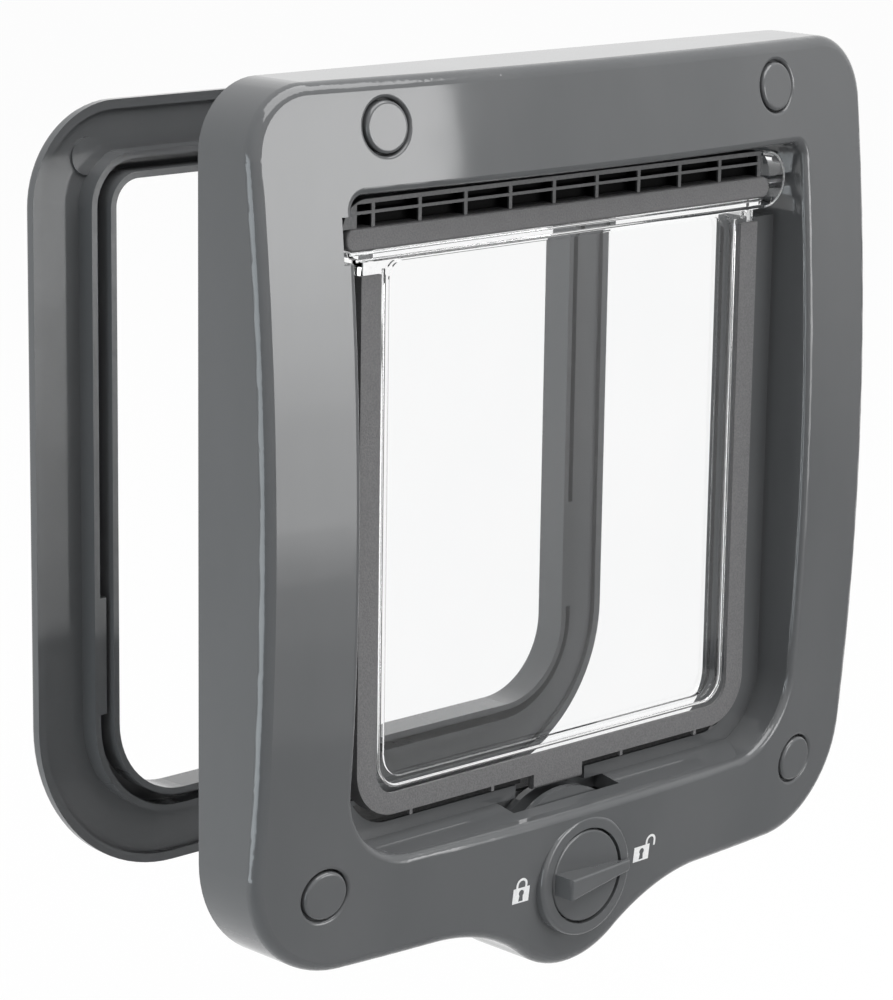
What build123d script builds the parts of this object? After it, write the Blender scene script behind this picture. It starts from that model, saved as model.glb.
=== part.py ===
from build123d import *
import os
from math import asin, cos, degrees, radians, sin, sqrt

os.makedirs("parts", exist_ok=True)

# Cat flap for a door: an indoor housing with a clear swinging flap and a turning lock, and the
# outdoor frame that stands behind it.
# X runs to the right and Z up, seen from the room. Y runs into the door.
# The origin lies on the door's indoor face, on the mid-line of the passage.
# All sizes are millimetres. A depth is a distance in front of the door, so it lies at Y = -depth.

# Passage through the housing
passage_width = 148.8
passage_above = 75.0
passage_below = 79.0
passage_top_corner = 3.5
passage_bottom_corner = 19.0
passage_edge = 1.6
sill_rise = 1.7

# Housing round the passage
side_stile = 25.6
top_rail = 25.0
bottom_rail = 25.2
housing_top_corner = 16.0
housing_bottom_corner = 27.0
bulge_blend = 48.0
wall = 2.2
front_edge = 3.0
rib = 1.6
rib_set_back = 5.0
stile_rib_pitch = 46.0
head_rib_pitch = 37.6
foot_rib_pitch = 75.2

# Double-curved front of the housing
crown = 29.8
crown_height = -3.0
across_radius = 756.0
upright_radius = 732.0

# Screw holes and their caps
top_hole_side_inset = 36.0
top_hole_edge_inset = 10.7
bottom_hole_side_inset = 19.8
bottom_hole_edge_inset = 20.2
cap_radius = 5.8
cap_gap = 0.5
cap_seat_depth = 2.6
cap_proud = 0.4
cap_edge = 0.8
seat_edge = 0.8
plug_length = 3.0
plug_wall = 1.0
plug_fit = 0.05
head_bore = 5.0
screw_hole = 2.3
screw_seat = 6.0
boss_wall = 2.0

# Flap
flap_set_back = 15.6
panel_thickness = 3.8
flap_side_gap = 0.8
flap_sill_gap = 2.5
rim_sill = 4.9
rim_set_back = 1.7
rim_corner = 12.6
rim_head_gap = 3.0
head_lip_height = 7.8
head_lip_depth = 2.4
window_inset = 17.3
window_corner = 4.0
window_depth = 2.0
window_sill = 8.0
window_head = 1.5
step_width = 2.0
step_depth = 1.0
step_head = 0.7

# Header of the flap
header_drop = 8.9
header_height = 14.0
header_proud = 3.1
header_side_gap = 1.6

# Grille of two rows of cells in the header, above the bar
cell_pitch = 14.15
cell_count = 9
cell_rib = 1.0
cell_depth = 3.2
upper_cell_height = 1.6
lower_cell_height = 3.0
grille_rib = 0.7
grille_depth = 3.9
grille_set_back = 0.7
end_cell_width = 4.4

# Textured bar in the header, and the hinge pins at the header's ends
bar_left_margin = 0.5
bar_right_margin = 5.9
bar_height = 5.1
bar_depth = 3.0
bar_proud = 0.2
bar_rise = 2.6
bar_end = 2.4
bar_edge = 0.6
bar_fit = 0.05
pin_radius = 1.5
pin_fit = 0.05
pin_grip_fit = 0.02
pin_set_back = 1.8
pin_drop = 1.6
pin_inner_gap = 0.3
pin_reach = 4.8
pin_end_gap = 0.4
socket_wall = 2.2
socket_cover = 2.4
notch_height = 10.4
notch_depth = 3.4
notch_lift = 1.0

# Edging on the flap
border_thickness = 0.9
border_margin = 7.2
border_width = 6.0
border_sill_height = 5.1
border_outer_corner = 11.8
border_inner_corner = 6.0
border_head_gap = 3.6
border_wall = 0.8
border_fit = 0.05
clip_width = 0.9
clip_height = 1.2
clip_tab_gap = 13.75
clip_corner_gap = 5.3

# Lock tab on the edging
tab_width = 16.5
tab_thickness = 2.0
tab_edge = 0.8

# Lock: a knob that turns two off-centre discs, one on each side of the tab
lock_drop = 17.2
cam_radius = 21.3
cam_offset = 0.9
cam_thickness = 1.9
cam_gap = 0.8
tab_gap = 0.4
hub_radius = 7.0
hub_gap = 0.3
pocket_gap = 0.4
pocket_wall = 1.2
slot_end_gap = 4.3
slot_gap = 0.5
tab_notch_gap = 3.5
drive_width = 5.2
drive_fit = 0.05
spindle_radius = 4.0
spindle_fit = 0.05
spindle_short = 0.2
knob_radius = 11.4
knob_gap = 0.5
knob_thickness = 3.4
knob_lift = 0.35
knob_edge = 0.6
collar_radius = 15.0
collar_proud = 1.8
collar_edge = 1.0
recess_depth = 3.9
recess_floor_wall = 2.2
grip_back = 10.6
grip_tip = 13.6
grip_height = 6.0
grip_tip_height = 1.0
grip_tip_gap = 0.4
grip_back_width = 5.2
grip_tip_width = 2.8
grip_edge = 0.5
cam_screw_radius = 1.5
cam_screw_pilot = 1.6
cam_screw_length = 7.0
cam_screw_head = 3.0
cam_screw_head_height = 1.8
cam_screw_slot = 0.9
cam_washer_radius = 5.0
cam_washer_thickness = 0.8
cam_washer_hole = 1.7

# Outdoor frame, standing behind the housing
frame_distance = 59.7
frame_drop = 5.6
frame_opening_spare = 0.9
frame_opening_height = 152.1
frame_top_corner = 6.5
frame_bottom_corner = 20.0
frame_side = 20.3
frame_head = 18.2
frame_foot = 20.3
frame_outer_top_corner = 24.0
frame_outer_bottom_corner = 41.0
frame_wall = 1.6
frame_groove = 3.0
frame_outer_wall_short = 1.4
flange_drop = 5.3
flange_thickness = 3.4
flange_lip = 2.2
flange_recess = 1.2
flange_edge = 1.6
frame_boss_radius = 4.5
frame_boss_height = 0.6
frame_boss_side = 4.7
frame_boss_rise = 5.4
frame_ledge = 0.9
frame_ledge_length = 29.0
frame_ledge_rise = 37.2

# Sizes that follow from the ones above
housing_width = passage_width + 2 * side_stile
housing_top = passage_above + top_rail
housing_bottom = -(passage_below + bottom_rail)
axle_depth = across_radius - crown
beyond = 2 * front_edge

flap_front = crown - flap_set_back
flap_back = flap_front - panel_thickness
flap_width = passage_width - 2 * header_side_gap
flap_bottom = -passage_below + rim_sill + flap_sill_gap
rim_front = flap_front - rim_set_back
above = (Align.CENTER, Align.MIN)

header_center = passage_above - header_drop
header_bottom = header_center - header_height / 2
rim_top = header_bottom - rim_head_gap
header_front = flap_front + header_proud
bar_left = -(flap_width / 2 - bar_left_margin)
bar_right = flap_width / 2 - bar_right_margin
bar_bottom = header_bottom + bar_rise
bar_center = bar_bottom + bar_height / 2
bar_front = header_front + bar_proud
bar_back = bar_front - bar_depth
bar_top = bar_bottom + bar_height
grille_front = header_front - grille_set_back
grille_back = grille_front - grille_depth
grille_right = cell_count * cell_pitch / 2 + grille_rib
upper_cell = bar_top + lower_cell_height + grille_rib
hinge_depth = flap_front - pin_set_back
hinge_height = header_center - pin_drop
pin_start = flap_width / 2 - bar_right_margin + bar_fit + pin_inner_gap
pin_end = passage_width / 2 + pin_reach
socket_radius = pin_radius + pin_fit

border_front = flap_front + border_thickness
border_outer_width = flap_width - 2 * border_margin
border_inner_width = border_outer_width - 2 * border_width
border_top = header_bottom - border_head_gap
clip_inner = tab_width / 2 + clip_tab_gap
clip_outer = border_outer_width / 2 - border_outer_corner - clip_corner_gap
panel_width = border_outer_width - 2 * (border_wall + border_fit)
panel_bottom = flap_bottom + border_wall + border_fit
panel_corner = border_outer_corner - border_wall - border_fit
tab_front = border_front
tab_back = tab_front - tab_thickness

lock_height = -passage_below - lock_drop
cam_low = cam_radius - cam_offset
cam_high = cam_radius + cam_offset
tab_bottom = lock_height + cam_low + tab_gap
cam_front_back = tab_front + cam_gap
cam_front_face = cam_front_back + cam_thickness
cam_rear_face = tab_back - cam_gap
cam_rear_back = cam_rear_face - cam_thickness
hub_joint = (cam_front_back + cam_rear_face) / 2
pocket_radius = cam_high + pocket_gap
bulge_radius = pocket_radius + pocket_wall
raised_chord = sqrt(cam_radius**2 - (lock_drop - cam_offset) ** 2)
slot_half = raised_chord + slot_end_gap

outer_wall_out = frame_wall + frame_groove + frame_wall
frame_top = passage_above - frame_drop
frame_bottom = frame_top - frame_opening_height
frame_opening_width = passage_width + 2 * frame_opening_spare
flange_front = -(frame_distance + flange_drop)
flange_back = flange_front - flange_thickness


def front_depth(x, z):
    """Depth of the curved front at a point of the door's plane."""
    arc = across_radius - upright_radius + sqrt(upright_radius**2 - (z - crown_height) ** 2)
    return sqrt(arc**2 - x**2) - axle_depth


def dome(inset):
    """Solid behind the curved front, kept inside it by the given distance."""
    across = across_radius - inset
    upright = upright_radius - inset
    spread = degrees(asin((housing_width / 2 + beyond) / across))
    reach = max(housing_top - crown_height, crown_height - lock_height + bulge_radius) + beyond
    inner = across - crown - beyond
    outer = across - upright + sqrt(upright**2 - reach**2)
    side = (-sin(radians(spread)), -cos(radians(spread)), 0)
    start = Plane(origin=(0, axle_depth, crown_height), x_dir=side, z_dir=(side[1], -side[0], 0))
    with BuildPart(mode=Mode.PRIVATE) as solid:
        with BuildSketch(start):
            with BuildLine():
                ThreePointArc((outer, -reach), (across, 0), (outer, reach))
                Polyline((outer, reach), (inner, reach), (inner, -reach), (outer, -reach))
            make_face()
        revolve(axis=Axis((0, axle_depth, 0), (0, 0, 1)), revolution_arc=2 * spread)
    return solid.part


def doorway(width, top, bottom, top_corner, bottom_corner):
    """Upright outline with one radius at its top corners and another at its bottom corners."""
    with BuildSketch(mode=Mode.PRIVATE) as face:
        with Locations((0, (top + bottom) / 2)):
            Rectangle(width, top - bottom)
        if top_corner:
            fillet(face.vertices().group_by(Axis.Y)[-1], top_corner)
        fillet(face.vertices().group_by(Axis.Y)[0], bottom_corner)
    return face.sketch


def passage(grow):
    """Outline of the passage, grown outwards by the given distance."""
    return doorway(
        passage_width + 2 * grow,
        passage_above + grow,
        -passage_below - grow,
        passage_top_corner + grow,
        passage_bottom_corner + grow,
    )


def housing_outline(inset):
    """Outline of the housing with the bulge round the lock, drawn in by the given distance."""
    with BuildSketch(mode=Mode.PRIVATE) as face:
        add(
            doorway(
                housing_width - 2 * inset,
                housing_top - inset,
                housing_bottom + inset,
                housing_top_corner - inset,
                housing_bottom_corner - inset,
            )
        )
        with Locations((0, lock_height)):
            Circle(bulge_radius - inset)
        low = face.vertices().filter_by(lambda v: abs(v.X) < bulge_radius)
        fillet(low.filter_by(lambda v: abs(v.Y - housing_bottom - inset) < 0.01), bulge_blend + inset)
    return face.sketch


def frame_opening(grow):
    """Outline of the outdoor frame's opening, grown outwards by the given distance."""
    return doorway(
        frame_opening_width + 2 * grow,
        frame_top + grow,
        frame_bottom - grow,
        frame_top_corner + grow,
        frame_bottom_corner + grow,
    )


def flange_outline(inset):
    """Outline of the outdoor frame, drawn in by the given distance."""
    return doorway(
        frame_opening_width + 2 * (frame_side - inset),
        frame_top + frame_head - inset,
        frame_bottom - frame_foot + inset,
        frame_outer_top_corner - inset,
        frame_outer_bottom_corner - inset,
    )


hole_places = {
    "top_left": (-(housing_width / 2 - top_hole_side_inset), housing_top - top_hole_edge_inset),
    "top_right": (housing_width / 2 - top_hole_side_inset, housing_top - top_hole_edge_inset),
    "bottom_left": (-(housing_width / 2 - bottom_hole_side_inset), housing_bottom + bottom_hole_edge_inset),
    "bottom_right": (housing_width / 2 - bottom_hole_side_inset, housing_bottom + bottom_hole_edge_inset),
}
boss_radius = cap_radius + cap_gap + boss_wall
collar_face = front_depth(0, lock_height) + collar_proud
recess_floor = collar_face - recess_depth
recess_back = recess_floor - recess_floor_wall
hub_front = recess_back - hub_gap
hub_back = cam_rear_back - hub_gap

# Hollow of the housing, with the passage wall, the screw bosses, the ribs and the pin sockets left standing
stile_middle = (passage_width / 2 + housing_width / 2) / 2
socket_width = pin_reach + pin_end_gap + socket_cover
socket_height = notch_height + 2 * (notch_lift + socket_wall)
socket_middle = (passage_width + socket_width) / 2
with BuildPart() as hollow:
    with BuildSketch(Plane.XZ.offset(-beyond)):
        add(housing_outline(wall))
        add(passage(wall), mode=Mode.SUBTRACT)
        with Locations(*hole_places.values()):
            Circle(boss_radius, mode=Mode.SUBTRACT)
        with Locations((-socket_middle, hinge_height), (socket_middle, hinge_height)):
            Rectangle(socket_width, socket_height, mode=Mode.SUBTRACT)
    extrude(amount=crown + beyond)
    add(dome(wall), mode=Mode.INTERSECT)

# Stiffening ribs between the passage wall and the outer wall
with BuildPart() as ribs:
    with BuildSketch(Plane.XZ.offset(rib_set_back)):
        with GridLocations(2 * stile_middle, stile_rib_pitch, 2, 3):
            Rectangle(side_stile, rib)
        with Locations((0, (passage_above + housing_top) / 2)):
            with GridLocations(head_rib_pitch, 0, 3, 1):
                Rectangle(rib, top_rail)
        with Locations((0, (housing_bottom - passage_below) / 2)):
            with GridLocations(foot_rib_pitch, 0, 2, 1):
                Rectangle(rib, bottom_rail)
    extrude(amount=crown)
    add(hollow.part, mode=Mode.INTERSECT)

# Raised collar round the knob
with BuildPart() as collar:
    with BuildSketch(Plane.XZ.offset(recess_back)):
        with Locations((0, lock_height)):
            Circle(collar_radius)
    extrude(amount=collar_face - recess_back)
    fillet(collar.edges().sort_by(Axis.Y)[0], collar_edge)

# Housing
with BuildPart() as housing:
    with BuildSketch(Plane.XZ):
        add(housing_outline(0))
    extrude(amount=crown + beyond)
    add(dome(0), mode=Mode.INTERSECT)
    with BuildSketch(Plane.XZ):
        add(passage(0))
    extrude(amount=crown + beyond, mode=Mode.SUBTRACT)
    fillet(housing.faces().sort_by(Axis.Y)[0].outer_wire().edges(), front_edge)
    fillet(housing.faces().sort_by(Axis.Y)[0].inner_wires()[0].edges(), passage_edge)
    add(hollow.part, mode=Mode.SUBTRACT)
    add(ribs.part)
    add(collar.part)
    # Sill that falls towards the room, from the stop rim to the front edge
    sill_floor = -passage_below
    sill_back = sill_floor + sill_rise
    corner_drop = passage_bottom_corner - sill_rise
    sill_half = passage_width / 2 - passage_bottom_corner + sqrt(passage_bottom_corner**2 - corner_drop**2)
    sill_front = front_depth(sill_half, sill_floor) - passage_edge
    with BuildSketch(Plane.YZ):
        with BuildLine():
            Polyline(
                (-rim_front, sill_floor - wall / 2),
                (-rim_front, sill_back),
                (-sill_front, sill_floor),
                (-sill_front, sill_floor - wall / 2),
                close=True,
            )
        make_face()
    extrude(amount=sill_half, both=True)
    # Step round the flap, open at the top, and a lip behind the header
    with BuildSketch(Plane.XZ):
        add(passage(wall / 2))
        with Locations((0, rim_top)):
            Rectangle(passage_width + 2 * wall, passage_above, align=above, mode=Mode.SUBTRACT)
        add(
            doorway(
                border_outer_width + 2 * flap_side_gap,
                passage_above,
                -passage_below + rim_sill,
                0,
                rim_corner,
            ),
            mode=Mode.SUBTRACT,
        )
    extrude(amount=rim_front)
    # Hollow in the back of the step, on both sides of the lock
    with BuildSketch(Plane.XZ.offset(-beyond)):
        add(passage(0))
        with Locations((0, rim_top - wall)):
            Rectangle(passage_width, passage_above, align=above, mode=Mode.SUBTRACT)
        with Locations((0, -passage_below)):
            Rectangle(2 * (slot_half + wall), passage_below, align=above, mode=Mode.SUBTRACT)
        add(
            doorway(
                border_outer_width + 2 * (flap_side_gap + wall),
                passage_above,
                -passage_below + rim_sill - wall,
                0,
                rim_corner + wall,
            ),
            mode=Mode.SUBTRACT,
        )
    extrude(amount=rim_front - wall + beyond, mode=Mode.SUBTRACT)
    with BuildSketch(Plane.XZ):
        with Locations((0, passage_above + wall / 2)):
            Rectangle(passage_width + wall, head_lip_height + wall / 2, align=(Align.CENTER, Align.MAX))
    extrude(amount=head_lip_depth)
    # Gap in the step for the tab, and the slot for the lock's discs
    with BuildSketch(Plane.XZ.offset(-beyond)):
        with Locations((0, sill_back)):
            Rectangle(tab_width + 2 * tab_notch_gap, rim_sill, align=above)
    extrude(amount=rim_front + 2 * beyond, mode=Mode.SUBTRACT)
    with BuildSketch(Plane.XZ.offset(cam_rear_back - slot_gap)):
        with Locations((0, sill_back)):
            Rectangle(2 * slot_half, sill_rise + 2 * wall, align=(Align.CENTER, Align.MAX))
    extrude(amount=cam_front_face - cam_rear_back + 2 * slot_gap, mode=Mode.SUBTRACT)
    # Room for the discs in the bottom rail and its bulge
    with BuildSketch(Plane.XZ.offset(-beyond)):
        with Locations((0, lock_height)):
            Circle(pocket_radius)
        with Locations((0, sill_floor - wall + pocket_radius)):
            Rectangle(2 * pocket_radius, 2 * pocket_radius, mode=Mode.SUBTRACT)
    extrude(amount=cam_front_face + slot_gap + beyond, mode=Mode.SUBTRACT)
    # Knob recess and spindle hole
    with BuildSketch(Plane.XZ.offset(recess_floor)):
        with Locations((0, lock_height)):
            Circle(knob_radius + knob_gap)
    extrude(amount=crown, mode=Mode.SUBTRACT)
    with BuildSketch(Plane.XZ.offset(recess_back - wall)):
        with Locations((0, lock_height)):
            Circle(spindle_radius + spindle_fit)
    extrude(amount=crown, mode=Mode.SUBTRACT)
    # Screw holes: cap seat with a rounded edge, head bore and clearance hole, one inside the other
    for x, z in hole_places.values():
        with BuildSketch(Plane.XZ.offset(front_depth(x, z) - cap_seat_depth)):
            with Locations((x, z)):
                Circle(cap_radius + cap_gap)
        extrude(amount=crown, mode=Mode.SUBTRACT)
        curves = housing.edges().filter_by(GeomType.LINE, reverse=True)
        fillet(curves.sort_by_distance((x, -front_depth(x, z), z))[0], seat_edge)
        for start, radius in ((screw_seat, head_bore), (-beyond, screw_hole)):
            with BuildSketch(Plane.XZ.offset(start)):
                with Locations((x, z)):
                    Circle(radius)
            extrude(amount=crown + beyond, mode=Mode.SUBTRACT)
    # Sockets for the hinge pins, and the notch that lets the left pin in from the front
    with BuildSketch(Plane.YZ):
        with Locations((-hinge_depth, hinge_height)):
            Circle(socket_radius)
    extrude(amount=pin_end + pin_end_gap, both=True, mode=Mode.SUBTRACT)
    with BuildSketch(Plane.YZ.offset(-passage_width / 2)):
        with Locations((-hinge_depth + pin_radius + notch_lift, hinge_height + notch_lift)):
            Rectangle(crown, notch_height, align=(Align.MAX, Align.CENTER))
    extrude(amount=-notch_depth, mode=Mode.SUBTRACT)
housing.part.label = "housing"
export_step(housing.part, "parts/housing.step")

# Screw caps, each with a face that follows the curved front and a hollow plug
for place, (x, z) in hole_places.items():
    cap_seat = front_depth(x, z) - cap_seat_depth
    with BuildPart() as cap:
        with BuildSketch(Plane.XZ.offset(cap_seat)):
            with Locations((x, z)):
                Circle(cap_radius)
        extrude(amount=crown - cap_seat + beyond)
        add(dome(-cap_proud), mode=Mode.INTERSECT)
        fillet(cap.faces().sort_by(Axis.Y)[0].edges(), cap_edge)
        with BuildSketch(Plane.XZ.offset(cap_seat - plug_length)):
            with Locations((x, z)):
                Circle(head_bore - plug_fit)
                Circle(head_bore - plug_fit - plug_wall, mode=Mode.SUBTRACT)
        extrude(amount=plug_length)
    cap.part.label = "cap_" + place
    export_step(cap.part, "parts/cap_" + place + ".step")

# Clear flap: panel, header and stepped window in one moulding
with BuildPart() as flap_panel:
    with BuildSketch(Plane.XZ.offset(flap_back)):
        add(doorway(panel_width, header_center, panel_bottom, 0, panel_corner))
    extrude(amount=panel_thickness)
    with BuildSketch(Plane.XZ.offset(flap_back)):
        with Locations((0, header_center)):
            SlotOverall(flap_width, header_height)
    extrude(amount=header_front - flap_back)
    # Channel for the hinge bar and room for the grille, both open at the left end
    channel_right = bar_right + bar_fit
    pocket_right = grille_right + bar_fit
    with BuildSketch(Plane.XZ.offset(bar_back)):
        with Locations((channel_right, bar_center)):
            Rectangle(2 * flap_width, bar_height + 2 * bar_fit, align=(Align.MAX, Align.CENTER))
    extrude(amount=bar_depth, mode=Mode.SUBTRACT)
    with BuildSketch(Plane.XZ.offset(grille_back)):
        with Locations((pocket_right, bar_top)):
            Rectangle(2 * flap_width, header_height, align=(Align.MAX, Align.MIN))
    extrude(amount=crown, mode=Mode.SUBTRACT)
    # Window, sunk into the front of the panel in two steps
    window_width = flap_width - 2 * window_inset
    window_top = header_bottom - window_head
    window_bottom = flap_bottom + window_sill
    with BuildSketch(Plane.XZ.offset(flap_front - step_depth)):
        add(
            doorway(
                window_width + 2 * step_width,
                window_top + step_head,
                window_bottom - step_width,
                window_corner,
                border_inner_corner,
            )
        )
    extrude(amount=step_depth, mode=Mode.SUBTRACT)
    with BuildSketch(Plane.XZ.offset(flap_front - window_depth)):
        add(doorway(window_width, window_top, window_bottom, window_corner, border_inner_corner))
    extrude(amount=window_depth, mode=Mode.SUBTRACT)
    # Holes for the hinge pins
    for side in (-1, 1):
        with BuildSketch(Plane.YZ.offset(side * pin_start)):
            with Locations((-hinge_depth, hinge_height)):
                Circle(pin_radius + pin_grip_fit)
        extrude(amount=side * flap_width, mode=Mode.SUBTRACT)
flap_panel.part.label = "flap_panel"
export_step(flap_panel.part, "parts/flap_panel.step")

# Edging on three sides of the panel: a face, a wall round the panel's edge and the lock tab
with BuildPart() as flap_border:
    with BuildSketch(Plane.XZ.offset(flap_front)):
        add(doorway(border_outer_width, border_top, flap_bottom, 0, border_outer_corner))
        add(
            doorway(
                border_inner_width,
                passage_above,
                flap_bottom + border_sill_height,
                0,
                border_inner_corner,
            ),
            mode=Mode.SUBTRACT,
        )
        with Locations((0, flap_bottom)):
            for spread in (clip_inner, clip_outer):
                with GridLocations(2 * spread, 0, 2, 1):
                    Rectangle(clip_width, clip_height, align=(Align.CENTER, Align.MAX))
    extrude(amount=border_thickness)
    with BuildSketch(Plane.XZ.offset(flap_back)):
        add(doorway(border_outer_width, border_top, flap_bottom, 0, border_outer_corner))
        add(
            doorway(
                border_outer_width - 2 * border_wall,
                passage_above,
                flap_bottom + border_wall,
                0,
                border_outer_corner - border_wall,
            ),
            mode=Mode.SUBTRACT,
        )
    extrude(amount=panel_thickness)
    with BuildSketch(Plane.XZ.offset(tab_back)):
        with Locations((0, tab_bottom)):
            Rectangle(tab_width, flap_bottom - tab_bottom, align=above)
    extrude(amount=tab_thickness)
    lower_edges = flap_border.edges().group_by(Axis.Z)[0]
    fillet(lower_edges.filter_by(Axis.X), tab_edge)
flap_border.part.label = "flap_border"
export_step(flap_border.part, "parts/flap_border.step")

# Textured bar that lies in the header's channel
with BuildPart() as hinge_bar:
    with BuildSketch(Plane.XZ.offset(bar_back)):
        with Locations(((bar_left + bar_right) / 2, bar_center)):
            RectangleRounded(bar_right - bar_left, bar_height, bar_end)
    extrude(amount=bar_depth)
    fillet(hinge_bar.faces().sort_by(Axis.Y)[0].edges(), bar_edge)
hinge_bar.part.label = "hinge_bar"
export_step(hinge_bar.part, "parts/hinge_bar.step")

# Grille above the bar: two rows of cells, with a short one at the left end of each row
with BuildPart() as header_grille:
    with BuildSketch(Plane.XZ.offset(grille_back)):
        with Locations((0, header_center)):
            SlotOverall(flap_width, header_height)
        with Locations((grille_right, bar_top)):
            Rectangle(2 * flap_width, header_height, align=(Align.MAX, Align.MIN), mode=Mode.INTERSECT)
    extrude(amount=grille_depth)
    with BuildSketch(Plane.XZ.offset(grille_front - cell_depth)):
        for base, height in ((bar_top, lower_cell_height), (upper_cell, upper_cell_height)):
            with Locations((0, base + height / 2)):
                with GridLocations(cell_pitch, 0, cell_count, 1):
                    Rectangle(cell_pitch - cell_rib, height)
            with Locations((-(cell_count * cell_pitch + cell_rib) / 2, base)):
                Rectangle(end_cell_width, height, align=(Align.MAX, Align.MIN))
    extrude(amount=cell_depth, mode=Mode.SUBTRACT)
header_grille.part.label = "header_grille"
export_step(header_grille.part, "parts/header_grille.step")

# Hinge pins, pressed into the ends of the header
for place, side in (("left", -1), ("right", 1)):
    with BuildPart() as hinge_pin:
        with BuildSketch(Plane.YZ.offset(side * pin_start)):
            with Locations((-hinge_depth, hinge_height)):
                Circle(pin_radius)
        extrude(amount=side * (pin_end - pin_start))
    hinge_pin.part.label = "hinge_pin_" + place
    export_step(hinge_pin.part, "parts/hinge_pin_" + place + ".step")

# Wedge-shaped grip: its plan narrows and its back slopes down towards the pointing end
knob_face = recess_floor + knob_lift + knob_thickness
grip_under = collar_face + grip_tip_gap
with BuildPart() as grip:
    with BuildSketch(Plane.XZ.offset(recess_floor + knob_lift)):
        with BuildLine():
            Polyline(
                (-grip_back, lock_height - grip_back_width / 2),
                (grip_tip, lock_height - grip_tip_width / 2),
                (grip_tip, lock_height + grip_tip_width / 2),
                (-grip_back, lock_height + grip_back_width / 2),
                close=True,
            )
        make_face()
    extrude(amount=knob_thickness + grip_height)
    with BuildSketch(Plane.XY.offset(lock_height)):
        with BuildLine():
            Polyline(
                (-grip_back, -recess_floor - knob_lift),
                (-grip_back, -knob_face - grip_height),
                (grip_tip, -grip_under - grip_tip_height),
                (grip_tip, -grip_under),
                (knob_radius - knob_edge, -grip_under),
                (knob_radius - knob_edge, -recess_floor - knob_lift),
                close=True,
            )
        make_face()
    extrude(amount=grip_back_width, both=True, mode=Mode.INTERSECT)
    fillet(grip.faces().sort_by(Axis.Y)[0].edges(), grip_edge)

# Knob with its spindle and square drive
with BuildPart() as lock_knob:
    with BuildSketch(Plane.XZ.offset(recess_floor + knob_lift)):
        with Locations((0, lock_height)):
            Circle(knob_radius)
    extrude(amount=knob_thickness)
    fillet(lock_knob.edges().sort_by(Axis.Y)[0], knob_edge)
    add(grip.part)
    with BuildSketch(Plane.XZ.offset(hub_front)):
        with Locations((0, lock_height)):
            Circle(spindle_radius)
    extrude(amount=recess_floor + knob_lift - hub_front)
    with BuildSketch(Plane.XZ.offset(hub_back + spindle_short)):
        with Locations((0, lock_height)):
            Rectangle(drive_width, drive_width)
    extrude(amount=hub_front - hub_back - spindle_short)
    with BuildSketch(Plane.XZ.offset(hub_back)):
        with Locations((0, lock_height)):
            Circle(cam_screw_pilot)
    extrude(amount=cam_screw_length, mode=Mode.SUBTRACT)
lock_knob.part.label = "lock_knob"
export_step(lock_knob.part, "parts/lock_knob.step")

# Off-centre discs on the drive: turned half round, they rise on both sides of the tab
for place, start, hub_start, hub_end in (
    ("front", cam_front_back, hub_joint, hub_front),
    ("rear", cam_rear_back, hub_back, hub_joint),
):
    with BuildPart() as cam_disc:
        with BuildSketch(Plane.XZ.offset(start)):
            with Locations((0, lock_height - cam_offset)):
                Circle(cam_radius)
        extrude(amount=cam_thickness)
        with BuildSketch(Plane.XZ.offset(hub_start)):
            with Locations((0, lock_height)):
                Circle(hub_radius)
        extrude(amount=hub_end - hub_start)
        with BuildSketch(Plane.XZ.offset(hub_start)):
            with Locations((0, lock_height)):
                Rectangle(drive_width + 2 * drive_fit, drive_width + 2 * drive_fit)
        extrude(amount=hub_end - hub_start, mode=Mode.SUBTRACT)
    cam_disc.part.label = "cam_disc_" + place
    export_step(cam_disc.part, "parts/cam_disc_" + place + ".step")

# Washer and screw that hold the discs on the drive
with BuildPart() as cam_washer:
    with BuildSketch(Plane.XZ.offset(hub_back - cam_washer_thickness)):
        with Locations((0, lock_height)):
            Circle(cam_washer_radius)
            Circle(cam_washer_hole, mode=Mode.SUBTRACT)
    extrude(amount=cam_washer_thickness)
cam_washer.part.label = "cam_washer"
export_step(cam_washer.part, "parts/cam_washer.step")

head_seat = hub_back - cam_washer_thickness
with BuildPart() as cam_screw:
    with BuildSketch(Plane.XZ.offset(head_seat - cam_screw_head_height)):
        with Locations((0, lock_height)):
            Circle(cam_screw_head)
    extrude(amount=cam_screw_head_height)
    fillet(cam_screw.edges().sort_by(Axis.Y)[-1], cam_screw_head_height / 2)
    with BuildSketch(Plane.XZ.offset(head_seat - cam_screw_head_height)):
        with Locations((0, lock_height)):
            Rectangle(cam_screw_head, cam_screw_slot)
            Rectangle(cam_screw_slot, cam_screw_head)
    extrude(amount=cam_screw_slot, mode=Mode.SUBTRACT)
    with BuildSketch(Plane.XZ.offset(head_seat)):
        with Locations((0, lock_height)):
            Circle(cam_screw_radius)
    extrude(amount=cam_screw_length - slot_gap)
cam_screw.part.label = "cam_screw"
export_step(cam_screw.part, "parts/cam_screw.step")

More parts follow.
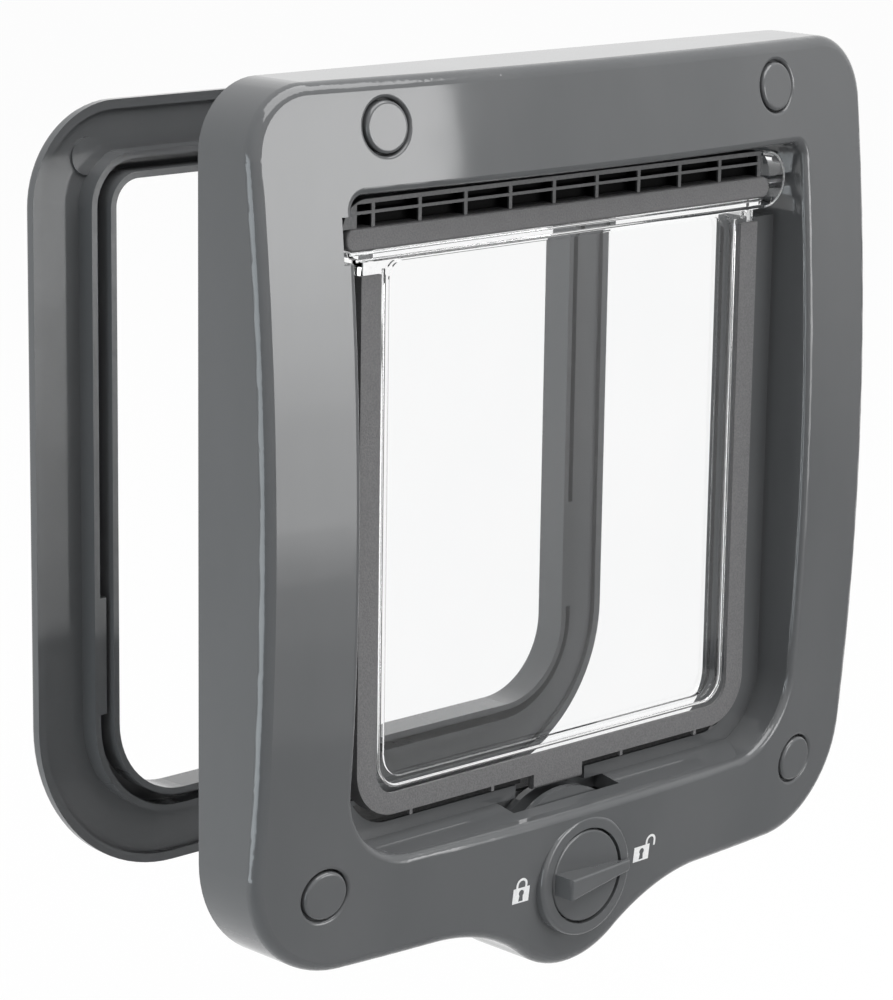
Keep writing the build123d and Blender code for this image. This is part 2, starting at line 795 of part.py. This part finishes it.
# Outdoor frame: a flat flange, and two walls with a groove between them that face the door
with BuildPart() as outer_frame:
    with BuildSketch(Plane.XZ.offset(flange_back)):
        add(flange_outline(0))
    extrude(amount=flange_thickness)
    fillet(outer_frame.faces().sort_by(Axis.Y)[-1].edges(), flange_edge)
    with BuildSketch(Plane.XZ.offset(flange_front)):
        add(flange_outline(flange_lip))
        add(frame_opening(outer_wall_out), mode=Mode.SUBTRACT)
        add(frame_opening(frame_wall + frame_groove))
        add(frame_opening(frame_wall), mode=Mode.SUBTRACT)
    extrude(amount=-flange_recess, mode=Mode.SUBTRACT)
    with BuildSketch(Plane.XZ.offset(flange_front)):
        add(frame_opening(outer_wall_out))
        add(frame_opening(frame_wall + frame_groove), mode=Mode.SUBTRACT)
    extrude(amount=flange_drop - frame_outer_wall_short)
    with BuildSketch(Plane.XZ.offset(flange_front)):
        add(frame_opening(frame_wall))
    extrude(amount=flange_drop)
    with BuildSketch(Plane.XZ.offset(flange_back - flange_edge)):
        add(frame_opening(0))
    extrude(amount=frame_distance, mode=Mode.SUBTRACT)
    # Round screw bosses on the flange
    with BuildSketch(Plane.XZ.offset(flange_front - flange_recess)):
        with Locations((0, frame_top + frame_boss_rise)):
            with GridLocations(passage_width + 2 * frame_boss_side, 0, 2, 1):
                Circle(frame_boss_radius)
    extrude(amount=frame_boss_height)
    # Narrow clip ledges on the outer wall, inside the groove
    ledge_width = frame_ledge + frame_wall
    with BuildSketch(Plane.XZ.offset(flange_front)):
        with Locations((0, frame_bottom + frame_ledge_rise)):
            with GridLocations(passage_width + 2 * outer_wall_out - ledge_width, 0, 2, 1):
                Rectangle(ledge_width, frame_ledge_length)
    extrude(amount=flange_drop - frame_outer_wall_short)
outer_frame.part.label = "outer_frame"
export_step(outer_frame.part, "parts/outer_frame.step")
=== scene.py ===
from math import cos, pi, radians, sin, sqrt

import bpy
from mathutils import Matrix, Vector


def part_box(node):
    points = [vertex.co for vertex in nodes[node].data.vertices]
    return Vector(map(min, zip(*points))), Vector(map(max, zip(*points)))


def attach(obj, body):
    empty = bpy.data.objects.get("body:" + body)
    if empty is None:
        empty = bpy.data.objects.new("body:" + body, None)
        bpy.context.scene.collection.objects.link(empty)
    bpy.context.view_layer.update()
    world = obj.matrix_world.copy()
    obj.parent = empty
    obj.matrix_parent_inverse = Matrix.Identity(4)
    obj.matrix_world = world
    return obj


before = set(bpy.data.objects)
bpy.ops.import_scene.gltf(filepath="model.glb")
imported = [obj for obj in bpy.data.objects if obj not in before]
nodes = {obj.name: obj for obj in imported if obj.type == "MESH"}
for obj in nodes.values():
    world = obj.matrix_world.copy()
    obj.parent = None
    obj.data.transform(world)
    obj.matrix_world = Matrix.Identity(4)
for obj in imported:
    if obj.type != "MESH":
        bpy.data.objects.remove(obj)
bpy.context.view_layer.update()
scene = bpy.context.scene
MM = 0.001

# Part of a noise's range that holds most of its values
NOISE_LOW, NOISE_HIGH = 0.3, 0.7

# Front of the grille's ribs, how far behind it the painted shade in its cells is darkest, how dark
# that painted shade turns the colour, and the ribs' gloss that it dims
GRILLE_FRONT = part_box("header_grille")[0][1]
CELL_SHADE = 0.7 * MM
CELL_PAINTED_SHADE = 0.06
RIB_SHEEN = 0.5

# Where the clear header's ends turn thin-walled, from the middle, and how light bends there
THIN_FROM, THIN_FULL = 63.6 * MM, 64.4 * MM
CLEAR_IOR, THIN_IOR = 1.49, 1.14
GREY_IOR = 1.54


# Nodes that the materials, the floor and the world share

def calc(tree, operation, *values):
    """The result of a Math node on sockets or plain numbers."""
    node = tree.nodes.new("ShaderNodeMath")
    node.operation = operation
    for slot, value in zip(node.inputs, values):
        if isinstance(value, float):
            slot.default_value = value
        else:
            tree.links.new(value, slot)
    return node.outputs[0]


def spread(tree, value, low, high, weak, strong):
    """A number that goes from weak to strong while value goes from low to high."""
    node = tree.nodes.new("ShaderNodeMapRange")
    node.inputs["From Min"].default_value = low
    node.inputs["From Max"].default_value = high
    node.inputs["To Min"].default_value = weak
    node.inputs["To Max"].default_value = strong
    tree.links.new(value, node.inputs["Value"])
    return node.outputs["Result"]


def axis_of(tree, place, axis):
    """One coordinate of a place."""
    node = tree.nodes.new("ShaderNodeSeparateXYZ")
    tree.links.new(place, node.inputs["Vector"])
    return node.outputs[axis]


def along(tree, place, axis, low, high, weak, strong):
    """A number that goes from weak to strong along one axis."""
    return spread(tree, axis_of(tree, place, axis), low, high, weak, strong)


# Materials

def start_material(name):
    """A new material with its shader, and a texture coordinate fixed to the object."""
    material = bpy.data.materials.new(name)
    material.use_nodes = True
    tree = material.node_tree
    shader = tree.nodes["Principled BSDF"]
    place = tree.nodes.new("ShaderNodeTexCoord")
    return material, tree, shader, place.outputs["Object"]


def noise(tree, place, scale, detail=3.0, stretch=None):
    """Noise with features of about 1/scale metres, drawn out along an axis if stretch is given."""
    texture = tree.nodes.new("ShaderNodeTexNoise")
    texture.inputs["Scale"].default_value = scale
    texture.inputs["Detail"].default_value = detail
    if stretch:
        mapping = tree.nodes.new("ShaderNodeMapping")
        mapping.inputs["Scale"].default_value = stretch
        tree.links.new(place, mapping.inputs["Vector"])
        place = mapping.outputs["Vector"]
    tree.links.new(place, texture.inputs["Vector"])
    return texture.outputs["Fac"]


def tint(tree, shader, fac, low, high):
    """Base colour that wanders between two near colours."""
    ramp = tree.nodes.new("ShaderNodeValToRGB")
    ramp.color_ramp.elements[0].position = NOISE_LOW
    ramp.color_ramp.elements[0].color = (*low, 1.0)
    ramp.color_ramp.elements[1].position = NOISE_HIGH
    ramp.color_ramp.elements[1].color = (*high, 1.0)
    tree.links.new(fac, ramp.inputs["Fac"])
    tree.links.new(ramp.outputs["Color"], shader.inputs["Base Color"])
    return ramp.outputs["Color"]


def roughen(tree, shader, fac, low, high):
    """Roughness that wanders between two limits."""
    wander = spread(tree, fac, NOISE_LOW, NOISE_HIGH, low, high)
    tree.links.new(wander, shader.inputs["Roughness"])


def bumps(tree, shader, fac, depth, strength):
    """Fine relief of the given depth in metres."""
    relief = tree.nodes.new("ShaderNodeBump")
    relief.inputs["Strength"].default_value = strength
    relief.inputs["Distance"].default_value = depth
    tree.links.new(fac, relief.inputs["Height"])
    tree.links.new(relief.outputs["Normal"], shader.inputs["Normal"])


def gloss_plastic():
    """Polished grey moulding with faint flow marks."""
    material, tree, shader, place = start_material("grey_gloss")
    flow = noise(tree, place, scale=28.0, detail=4.0, stretch=(1.0, 1.0, 0.45))
    tint(tree, shader, flow, low=(0.092, 0.095, 0.098), high=(0.106, 0.108, 0.111))
    roughen(tree, shader, noise(tree, place, scale=60.0), low=0.07, high=0.11)
    ripple = noise(tree, place, scale=350.0, detail=2.0)
    bumps(tree, shader, ripple, depth=0.01 * MM, strength=0.2)
    shader.inputs["IOR"].default_value = GREY_IOR
    return material


def matte_plastic():
    """Grey moulding with a spark-eroded grain."""
    material, tree, shader, place = start_material("grey_matte")
    grain = noise(tree, place, scale=2400.0)
    tint(tree, shader, grain, low=(0.092, 0.091, 0.093), high=(0.138, 0.137, 0.139))
    roughen(tree, shader, noise(tree, place, scale=300.0), low=0.48, high=0.62)
    bumps(tree, shader, grain, depth=0.2 * MM, strength=0.45)
    return material


def grille_plastic():
    """Dark grey moulding with a fine grain, and painted shade that turns it nearly black and dims
    its gloss down in its cells.
    """
    material, tree, shader, place = start_material("grille_grey")
    grain = noise(tree, place, scale=1500.0)
    grey = tint(tree, shader, grain, low=(0.075, 0.076, 0.078), high=(0.115, 0.116, 0.118))
    # Painted shade: the grain's colour darkens with depth behind the ribs' front
    shade = along(tree, place, "Y", GRILLE_FRONT, GRILLE_FRONT + CELL_SHADE, 1.0, CELL_PAINTED_SHADE)
    darken = tree.nodes.new("ShaderNodeVectorMath")
    darken.operation = "SCALE"
    tree.links.new(grey, darken.inputs["Vector"])
    tree.links.new(shade, darken.inputs["Scale"])
    tree.links.new(darken.outputs["Vector"], shader.inputs["Base Color"])
    # Painted shade also dims the gloss down in the cells
    sheen_under_shade = calc(tree, "MULTIPLY", shade, RIB_SHEEN)
    tree.links.new(sheen_under_shade, shader.inputs["Specular IOR Level"])
    roughen(tree, shader, noise(tree, place, scale=200.0), low=0.3, high=0.42)
    bumps(tree, shader, grain, depth=0.1 * MM, strength=0.25)
    return material


def clear_plastic():
    """Clear moulding with a little haze, which bends light less in its thin-walled ends."""
    material, tree, shader, place = start_material("clear")
    tone = noise(tree, place, scale=40.0)
    tint(tree, shader, tone, low=(0.98, 0.985, 0.987), high=(0.993, 0.995, 0.996))
    roughen(tree, shader, noise(tree, place, scale=120.0), low=0.0, high=0.025)
    shader.inputs["Transmission Weight"].default_value = 1.0
    from_middle = calc(tree, "ABSOLUTE", axis_of(tree, place, "X"))
    bend = spread(tree, from_middle, THIN_FROM, THIN_FULL, CLEAR_IOR, THIN_IOR)
    tree.links.new(bend, shader.inputs["IOR"])
    return material


def steel():
    """Drawn steel with fine scratches along X."""
    material, tree, shader, place = start_material("steel")
    lines = noise(tree, place, scale=900.0, stretch=(0.05, 1.0, 1.0))
    tint(tree, shader, lines, low=(0.5, 0.5, 0.51), high=(0.64, 0.64, 0.65))
    roughen(tree, shader, lines, low=0.22, high=0.38)
    shader.inputs["Metallic"].default_value = 1.0
    return material


def white_ink():
    """White print with slightly uneven cover."""
    material, tree, shader, place = start_material("white_ink")
    cover = noise(tree, place, scale=1800.0)
    tint(tree, shader, cover, low=(0.64, 0.64, 0.64), high=(0.76, 0.76, 0.76))
    roughen(tree, shader, noise(tree, place, scale=600.0), low=0.35, high=0.5)
    return material


def highlight_line():
    """Light grey, half-clear stuff for a painted highlight line along an edge of clear plastic."""
    material, tree, shader, place = start_material("painted_highlight_line")
    line_tone = noise(tree, place, scale=900.0)
    # Painted highlight: light grey colour of the line
    tint(tree, shader, line_tone, low=(0.42, 0.43, 0.43), high=(0.58, 0.59, 0.59))
    roughen(tree, shader, noise(tree, place, scale=400.0), low=0.2, high=0.4)
    shader.inputs["Transmission Weight"].default_value = 0.6
    return material


def shade_black():
    """Nearly black, finely grained stuff for painted shade, put behind gaps where there is only
    shade.
    """
    material, tree, shader, place = start_material("painted_shade_black")
    speckle = noise(tree, place, scale=2600.0, detail=4.0)
    # Painted shade: nearly black colour
    tint(tree, shader, speckle, low=(0.008, 0.008, 0.008), high=(0.028, 0.028, 0.029))
    roughen(tree, shader, noise(tree, place, scale=500.0), low=0.8, high=0.95)
    bumps(tree, shader, speckle, depth=0.3 * MM, strength=0.8)
    return material


GLOSS = gloss_plastic()
MATTE = matte_plastic()
GRILLE = grille_plastic()
CLEAR = clear_plastic()
STEEL = steel()
INK = white_ink()
HIGHLIGHT_LINE = highlight_line()
SHADE_BLACK = shade_black()

# Nodes that aren't of gloss plastic
finish = {
    "flap_panel": CLEAR,
    "flap_border": MATTE,
    "hinge_bar": MATTE,
    "header_grille": GRILLE,
    "hinge_pin_left": STEEL,
    "hinge_pin_right": STEEL,
    "cam_washer": STEEL,
    "cam_screw": STEEL,
}
for name, node in nodes.items():
    for slot in node.material_slots:
        slot.material = finish.get(name, GLOSS)


def new_piece(name, points, faces, material):
    """A mesh object from points in millimetres."""
    mesh = bpy.data.meshes.new(name)
    mesh.from_pydata([(x * MM, y * MM, z * MM) for x, y, z in points], [], faces)
    mesh.validate()
    mesh.update()
    mesh.materials.append(material)
    piece = bpy.data.objects.new(name, mesh)
    scene.collection.objects.link(piece)
    return piece


# Signs printed on the housing's curved front, in millimetres

CROWN, CROWN_HEIGHT = 29.8, -3.0
ACROSS_RADIUS, UPRIGHT_RADIUS = 756.0, 732.0
PRINT_LIFT, KEYHOLE_LIFT, PRINT_SINK = 0.06, 0.09, 0.2
SHACKLE_HALF, SHACKLE_THICKNESS, SHACKLE_STEPS = 1.75, 0.6, 16
KEYHOLE_RADIUS, KEYHOLE_FOOT, KEYHOLE_DROP = 0.8, 0.7, 2.1
KEYHOLE_START, KEYHOLE_SWEEP, KEYHOLE_STEPS = -50, 280, 14
KEYHOLE_RISE = 0.55


def front(x, z):
    """Depth of the housing's curved front before the door."""
    arc = ACROSS_RADIUS - UPRIGHT_RADIUS + sqrt(UPRIGHT_RADIUS**2 - (z - CROWN_HEIGHT) ** 2)
    return sqrt(arc**2 - x**2) - (ACROSS_RADIUS - CROWN)


def plate(name, outline, material, lift):
    """Thin closed plate on the curved front, from an outline in X and Z."""
    count = len(outline)
    points = [(x, -(front(x, z) + lift), z) for x, z in outline]
    points += [(x, -(front(x, z) - PRINT_SINK), z) for x, z in outline]
    faces = [tuple(range(count)), tuple(range(2 * count - 1, count - 1, -1))]
    for i in range(count):
        j = (i + 1) % count
        faces.append((i, i + count, j + count, j))
    piece = new_piece(name, points, faces, material)
    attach(piece, "frame")


def arch(middle, foot_left, foot_right, crown):
    """Outline of a shackle: a half ring on two legs."""
    rise = crown - SHACKLE_HALF
    bore = SHACKLE_HALF - SHACKLE_THICKNESS
    turns = [pi * i / SHACKLE_STEPS for i in range(SHACKLE_STEPS + 1)]
    outer = [(middle + SHACKLE_HALF * cos(a), rise + SHACKLE_HALF * sin(a)) for a in turns]
    inner = [(middle + bore * cos(a), rise + bore * sin(a)) for a in reversed(turns)]
    return (
        [(middle + SHACKLE_HALF, foot_right)]
        + outer
        + [(middle - SHACKLE_HALF, foot_left), (middle - bore, foot_left)]
        + inner
        + [(middle + bore, foot_right)]
    )


def keyhole(middle, height):
    """Outline of a keyhole: a round head over a widening foot."""
    steps = range(KEYHOLE_STEPS + 1)
    turns = [radians(KEYHOLE_START + KEYHOLE_SWEEP * i / KEYHOLE_STEPS) for i in steps]
    head = [(middle + KEYHOLE_RADIUS * cos(a), height + KEYHOLE_RADIUS * sin(a)) for a in turns]
    foot = height - KEYHOLE_DROP
    return head + [(middle - KEYHOLE_FOOT, foot), (middle + KEYHOLE_FOOT, foot)]


def padlock(name, left, right, bottom, top, shackle):
    """A padlock sign: body, shackle and keyhole."""
    body = [(left, bottom), (right, bottom), (right, top), (left, top)]
    hole = keyhole((left + right) / 2, (top + bottom) / 2 + KEYHOLE_RISE)
    plate(name + "_body", body, INK, PRINT_LIFT)
    plate(name + "_shackle", shackle, INK, PRINT_LIFT)
    plate(name + "_keyhole", hole, GLOSS, KEYHOLE_LIFT)


padlock(
    "sign_locked",
    left=-22.8,
    right=-17.6,
    bottom=-99.0,
    top=-95.1,
    shackle=arch(middle=-20.25, foot_left=-95.1, foot_right=-95.1, crown=-92.65),
)
padlock(
    "sign_open",
    left=18.3,
    right=23.8,
    bottom=-97.7,
    top=-93.75,
    shackle=arch(middle=24.05, foot_left=-93.75, foot_right=-94.5, crown=-91.35),
)


# Clear beads moulded on the flap, and nearly black blocks of painted shade behind gaps, in
# millimetres

BEAD_SIDES = 12
CORNER_STEPS, END_STEPS = 10, 24
LIP_DEPTH, LIP_RIGHT = -17.25, 64.0
UPPER_LIP_LEFT, UPPER_LIP_HEIGHT, UPPER_LIP_RADIUS = -71.0, 61.2, 0.35
LOWER_LIP_LEFT, LOWER_LIP_HEIGHT, LOWER_LIP_RADIUS = -69.0, 59.6, 0.4
END_MIDDLE, END_HEIGHT, END_RADIUS = 65.8, 66.1, 6.7
END_DEPTH, END_LINE = -17.1, 0.28
RIM_HALF, RIM_TOP, RIM_BOTTOM, RIM_CORNER = 58.3, 56.5, -65.2, 6.5
RIM_DEPTH, RIM_RADIUS = -14.2, 0.45
# Blocks of painted shade: corners at the lower left front and at the upper right back
CELL_SHADE_BLOCK = (-71.0, -16.2, 66.82), (63.5, -13.5, 67.0)
NOTCH_SHADE_BLOCK = (-12.9, -9.0, -79.5), (12.9, -0.5, -76.7)
LOCK_SHADE_BLOCK = (-34.0, -2.6, -92.0), (34.0, -1.6, -79.4)
STRIP_NEAR, STRIP_FAR = 9.4, 62.0
STRIP_FRONT, STRIP_BACK = -11.6, -1.0
STRIP_BOTTOM, STRIP_TOP = -74.2, -73.2


def piece_of(name, points, faces, material, body):
    """A mesh piece that rides on a body."""
    piece = new_piece(name, points, faces, material)
    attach(piece, body)
    return piece


def bead(name, path, depth, radius, material, body):
    """A round bead along a path in X and Z, at one depth."""
    points, faces = [], []
    last = len(path) - 1
    for i, (x, z) in enumerate(path):
        before, after = path[max(i - 1, 0)], path[min(i + 1, last)]
        run, rise = after[0] - before[0], after[1] - before[1]
        length = sqrt(run**2 + rise**2)
        for k in range(BEAD_SIDES):
            a = 2 * pi * k / BEAD_SIDES
            off = radius * cos(a)
            y = depth + radius * sin(a)
            points.append((x - off * rise / length, y, z + off * run / length))
    for i in range(last):
        here, there = i * BEAD_SIDES, (i + 1) * BEAD_SIDES
        for k in range(BEAD_SIDES):
            j = (k + 1) % BEAD_SIDES
            faces.append((here + k, here + j, there + j, there + k))
    faces.append(tuple(range(BEAD_SIDES - 1, -1, -1)))
    faces.append(tuple(range(last * BEAD_SIDES, len(path) * BEAD_SIDES)))
    piece = piece_of(name, points, faces, material, body)
    for face in piece.data.polygons:
        face.use_smooth = len(face.vertices) == 4


def block(name, low, high, material, body):
    """A plain block between two corners."""
    (x0, y0, z0), (x1, y1, z1) = low, high
    points = [(x, y, z) for x in (x0, x1) for y in (y0, y1) for z in (z0, z1)]
    faces = [(0, 1, 3, 2), (4, 6, 7, 5), (0, 4, 5, 1), (2, 3, 7, 6), (0, 2, 6, 4), (1, 5, 7, 3)]
    piece_of(name, points, faces, material, body)


def bend_path(half, top, bottom, corner):
    """A U-shaped path: down one side, round two corners and up the other."""
    turns = [pi / 2 * i / CORNER_STEPS for i in range(CORNER_STEPS + 1)]
    side, foot = half - corner, bottom + corner
    left = [(-side - corner * cos(a), foot - corner * sin(a)) for a in turns]
    right = [(side + corner * sin(a), foot - corner * cos(a)) for a in turns]
    return [(-half, top)] + left + right + [(half, top)]


upper_lip = [(UPPER_LIP_LEFT, UPPER_LIP_HEIGHT), (LIP_RIGHT, UPPER_LIP_HEIGHT)]
bead("lip_bead_upper", upper_lip, LIP_DEPTH, UPPER_LIP_RADIUS, CLEAR, "flap")
lower_lip = [(LOWER_LIP_LEFT, LOWER_LIP_HEIGHT), (LIP_RIGHT, LOWER_LIP_HEIGHT)]
bead("lip_bead_lower", lower_lip, LIP_DEPTH, LOWER_LIP_RADIUS, CLEAR, "flap")
turns = [pi / 2 - pi * i / END_STEPS for i in range(END_STEPS + 1)]
header_end = [(END_MIDDLE + END_RADIUS * cos(a), END_HEIGHT + END_RADIUS * sin(a)) for a in turns]
# Painted highlight line along the clear header's rounded end
bead("header_edge", header_end, END_DEPTH, END_LINE, HIGHLIGHT_LINE, "flap")
# Painted shade: nearly black block behind the header's cells
block("cell_painted_shade", *CELL_SHADE_BLOCK, SHADE_BLACK, "flap")
rim = bend_path(RIM_HALF, RIM_TOP, RIM_BOTTOM, RIM_CORNER)
bead("rim_bead", rim, RIM_DEPTH, RIM_RADIUS, CLEAR, "flap")
# Painted shade: nearly black strips on the step's top beside the notch, where it lies in shade
# under the flap
for side, (left, right) in (
    ("left", (-STRIP_FAR, -STRIP_NEAR)),
    ("right", (STRIP_NEAR, STRIP_FAR)),
):
    low, high = (left, STRIP_FRONT, STRIP_BOTTOM), (right, STRIP_BACK, STRIP_TOP)
    block("painted_shade_strip_" + side, low, high, SHADE_BLACK, "frame")
# Painted shade: nearly black blocks behind the step's notch and behind the gaps at the lock
block("notch_painted_shade", *NOTCH_SHADE_BLOCK, SHADE_BLACK, "frame")
block("lock_painted_shade", *LOCK_SHADE_BLOCK, SHADE_BLACK, "frame")


def transform(across, above, back, place):
    """A matrix from three axes and a place."""
    rows = [(across[i], above[i], back[i], place[i]) for i in range(3)]
    return Matrix(rows + [(0, 0, 0, 1)])


# Camera at the photograph's viewing angle

CAMERA_TURN, CAMERA_TILT, CAMERA_ROLL = radians(43.631), radians(13.175), radians(0.862)
CAMERA_PLACE = (-0.59520, -0.59893, 0.18957)
CAMERA_LENS, CAMERA_SENSOR, CAMERA_NEAR = 145.26, 36.0, 0.01

camera_data = bpy.data.cameras.new("camera")
camera = bpy.data.objects.new("camera", camera_data)
scene.collection.objects.link(camera)
scene.camera = camera
level = cos(CAMERA_TILT)
forward = Vector((sin(CAMERA_TURN) * level, cos(CAMERA_TURN) * level, -sin(CAMERA_TILT)))
right = forward.cross(Vector((0, 0, 1))).normalized()
up = right.cross(forward)
across = right * cos(CAMERA_ROLL) + up * sin(CAMERA_ROLL)
above = up * cos(CAMERA_ROLL) - right * sin(CAMERA_ROLL)
camera.matrix_world = transform(across, above, -forward, CAMERA_PLACE)
camera_data.sensor_fit = "HORIZONTAL"
camera_data.sensor_width = CAMERA_SENSOR
camera_data.lens = CAMERA_LENS
camera_data.clip_start = CAMERA_NEAR


# Floor and backdrop, in metres

FLOOR_HEIGHT = -0.21
FLOOR_LEFT, FLOOR_FRONT, FLOOR_FAR = -0.4, -0.35, 6.0
FLOOR_GREY = 0.82
# Share of plain white in what is seen of the floor; the rest keeps the object's shadow
FLOOR_WHITE = 0.96
# Strength of the room's side in gloss reflections, where behind the object is 1
ROOM_DIM = 0.15
# Places along Y on the floor, and bearings along Y in the world, where that changes
FLOOR_CHANGE = -0.10, 0.05
WORLD_CHANGE = -0.2, 0.2
# Strengths overhead and of the fill, and the bearings along Z between which they grow
OVERHEAD = 0.9
OVERHEAD_RISE = -0.25, 0.1
FILL_LOW, FILL_HIGH = 0.16, 0.48
FILL_RISE = -0.6, 0.6
FILL_COLOUR = (0.97, 0.985, 1.0, 1)
WHITE = (1, 1, 1, 1)


def straight(tree, path):
    """1 for what the camera sees directly or through glass."""
    return calc(tree, "MAXIMUM", path.outputs["Is Camera Ray"], path.outputs["Is Transmission Ray"])


def seen(tree):
    """1 for what the camera sees, also in gloss and through glass, and 0 for light on things."""
    path = tree.nodes.new("ShaderNodeLightPath")
    return calc(tree, "MAXIMUM", straight(tree, path), path.outputs["Is Glossy Ray"])


def white_behind(tree, place, low, high):
    """White straight on and through glass; in gloss, white behind the object and dim before it."""
    path = tree.nodes.new("ShaderNodeLightPath")
    in_gloss = along(tree, place, "Y", low, high, ROOM_DIM, 1.0)
    return calc(tree, "MAXIMUM", straight(tree, path), in_gloss)


def mix_into(tree, share, lit, shown, output):
    """Light things by one shader and show another, by the share of each."""
    mix = tree.nodes.new("ShaderNodeMixShader")
    tree.links.new(share, mix.inputs["Fac"])
    tree.links.new(lit.outputs[0], mix.inputs[1])
    tree.links.new(shown.outputs[0], mix.inputs[2])
    tree.links.new(mix.outputs[0], tree.nodes[output].inputs["Surface"])


corners = [
    (FLOOR_LEFT, FLOOR_FRONT, FLOOR_HEIGHT),
    (FLOOR_FAR, FLOOR_FRONT, FLOOR_HEIGHT),
    (FLOOR_FAR, FLOOR_FAR, FLOOR_HEIGHT),
    (FLOOR_LEFT, FLOOR_FAR, FLOOR_HEIGHT),
]
floor_mesh = bpy.data.meshes.new("floor")
floor_mesh.from_pydata(corners, [], [(0, 1, 2, 3)])
floor = bpy.data.objects.new("floor", floor_mesh)
scene.collection.objects.link(floor)
floor_material = bpy.data.materials.new("floor_white")
floor_material.use_nodes = True
tree = floor_material.node_tree
tree.nodes.remove(tree.nodes["Principled BSDF"])
surface = tree.nodes.new("ShaderNodeBsdfDiffuse")
surface.inputs["Color"].default_value = (FLOOR_GREY, FLOOR_GREY, FLOOR_GREY, 1)
glow = tree.nodes.new("ShaderNodeEmission")
glow.inputs["Color"].default_value = WHITE
ground = tree.nodes.new("ShaderNodeTexCoord").outputs["Object"]
tree.links.new(white_behind(tree, ground, *FLOOR_CHANGE), glow.inputs["Strength"])
share = calc(tree, "MULTIPLY", seen(tree), FLOOR_WHITE)
mix_into(tree, share, surface, glow, "Material Output")
floor_mesh.materials.append(floor_material)

world = bpy.data.worlds.new("studio")
scene.world = world
world.use_nodes = True
tree = world.node_tree
fill = tree.nodes["Background"]
fill.inputs["Color"].default_value = FILL_COLOUR
bearing = tree.nodes.new("ShaderNodeTexCoord").outputs["Generated"]
fill_strength = along(tree, bearing, "Z", *FILL_RISE, FILL_LOW, FILL_HIGH)
tree.links.new(fill_strength, fill.inputs["Strength"])
backdrop = tree.nodes.new("ShaderNodeBackground")
backdrop.inputs["Color"].default_value = WHITE
overhead = along(tree, bearing, "Z", *OVERHEAD_RISE, ROOM_DIM, OVERHEAD)
behind = white_behind(tree, bearing, *WORLD_CHANGE)
tree.links.new(calc(tree, "MAXIMUM", behind, overhead), backdrop.inputs["Strength"])
mix_into(tree, seen(tree), fill, backdrop, "World Output")


# Lamps, in metres and degrees

KEY_TURN, KEY_RISE, KEY_DISTANCE = 22.0, 0.0, 1.2
KEY_LEFT, KEY_RIGHT, KEY_TOP = -0.30, 0.257, 0.26
# The key is one soft box in strips that grow dimmer downwards: lower edge and radiance
KEY_STRIPS = (
    (0.03, 5.9),
    (-0.01, 5.5),
    (-0.05, 5.2),
    (-0.09, 4.9),
    (-0.12, 4.4),
    (-0.15, 3.9),
    (-0.19, 3.6),
    (-0.285, 3.5),
    (-0.31, 2.4),
    (-0.35, 1.3),
    (-0.43, 0.7),
    (-0.55, 0.45),
)
# A dim border beside its lower half lights the outer frame's upper left
BORDER_RIGHT, BORDER_TOP = 0.34, -0.02
BORDER_STRIPS = ((-0.20, 1.6), (-0.28, 0.8), (-0.36, 0.3))
COOL_WHITE = (0.86, 0.95, 1.0)


def lamp(name, turn, rise, distance, left, right, low, high, radiance, color=(1, 1, 1)):
    """Soft box at a bearing from the front, facing the origin, its edges measured from there."""
    a, e = radians(turn), radians(rise)
    out = Vector((sin(a) * cos(e), -cos(a) * cos(e), sin(e)))
    side = Vector((cos(a), sin(a), 0))
    top = Vector((-sin(e) * sin(a), sin(e) * cos(a), cos(e)))
    data = bpy.data.lights.new(name, "AREA")
    data.shape = "RECTANGLE"
    data.size = right - left
    data.size_y = high - low
    data.energy = radiance * pi * data.size * data.size_y
    data.color = color
    item = bpy.data.objects.new(name, data)
    middle = out * distance + side * (left + right) / 2 + top * (low + high) / 2
    item.matrix_world = transform(side, top, out, middle)
    item.visible_camera = False
    scene.collection.objects.link(item)


def strips(name, left, right, top, steps):
    """Soft boxes of the key, one below another."""
    for bottom, radiance in steps:
        lamp(name, KEY_TURN, KEY_RISE, KEY_DISTANCE, left, right, bottom, top, radiance)
        top = bottom


strips("key", KEY_LEFT, KEY_RIGHT, KEY_TOP, KEY_STRIPS)
strips("key_border", KEY_RIGHT, BORDER_RIGHT, BORDER_TOP, BORDER_STRIPS)
lamp(
    "top_front",
    turn=10.0,
    rise=66.0,
    distance=1.3,
    left=-0.7,
    right=0.7,
    low=-0.6,
    high=0.6,
    radiance=4.1,
)
lamp(
    "left_fill",
    turn=-95.0,
    rise=-8.0,
    distance=1.2,
    left=-0.36,
    right=0.36,
    low=-0.36,
    high=0.34,
    radiance=3.5,
    color=COOL_WHITE,
)
lamp(
    "top_back",
    turn=140.0,
    rise=22.0,
    distance=1.4,
    left=-0.7,
    right=0.7,
    low=-0.35,
    high=0.4,
    radiance=0.15,
)

scene.view_settings.view_transform = "Standard"
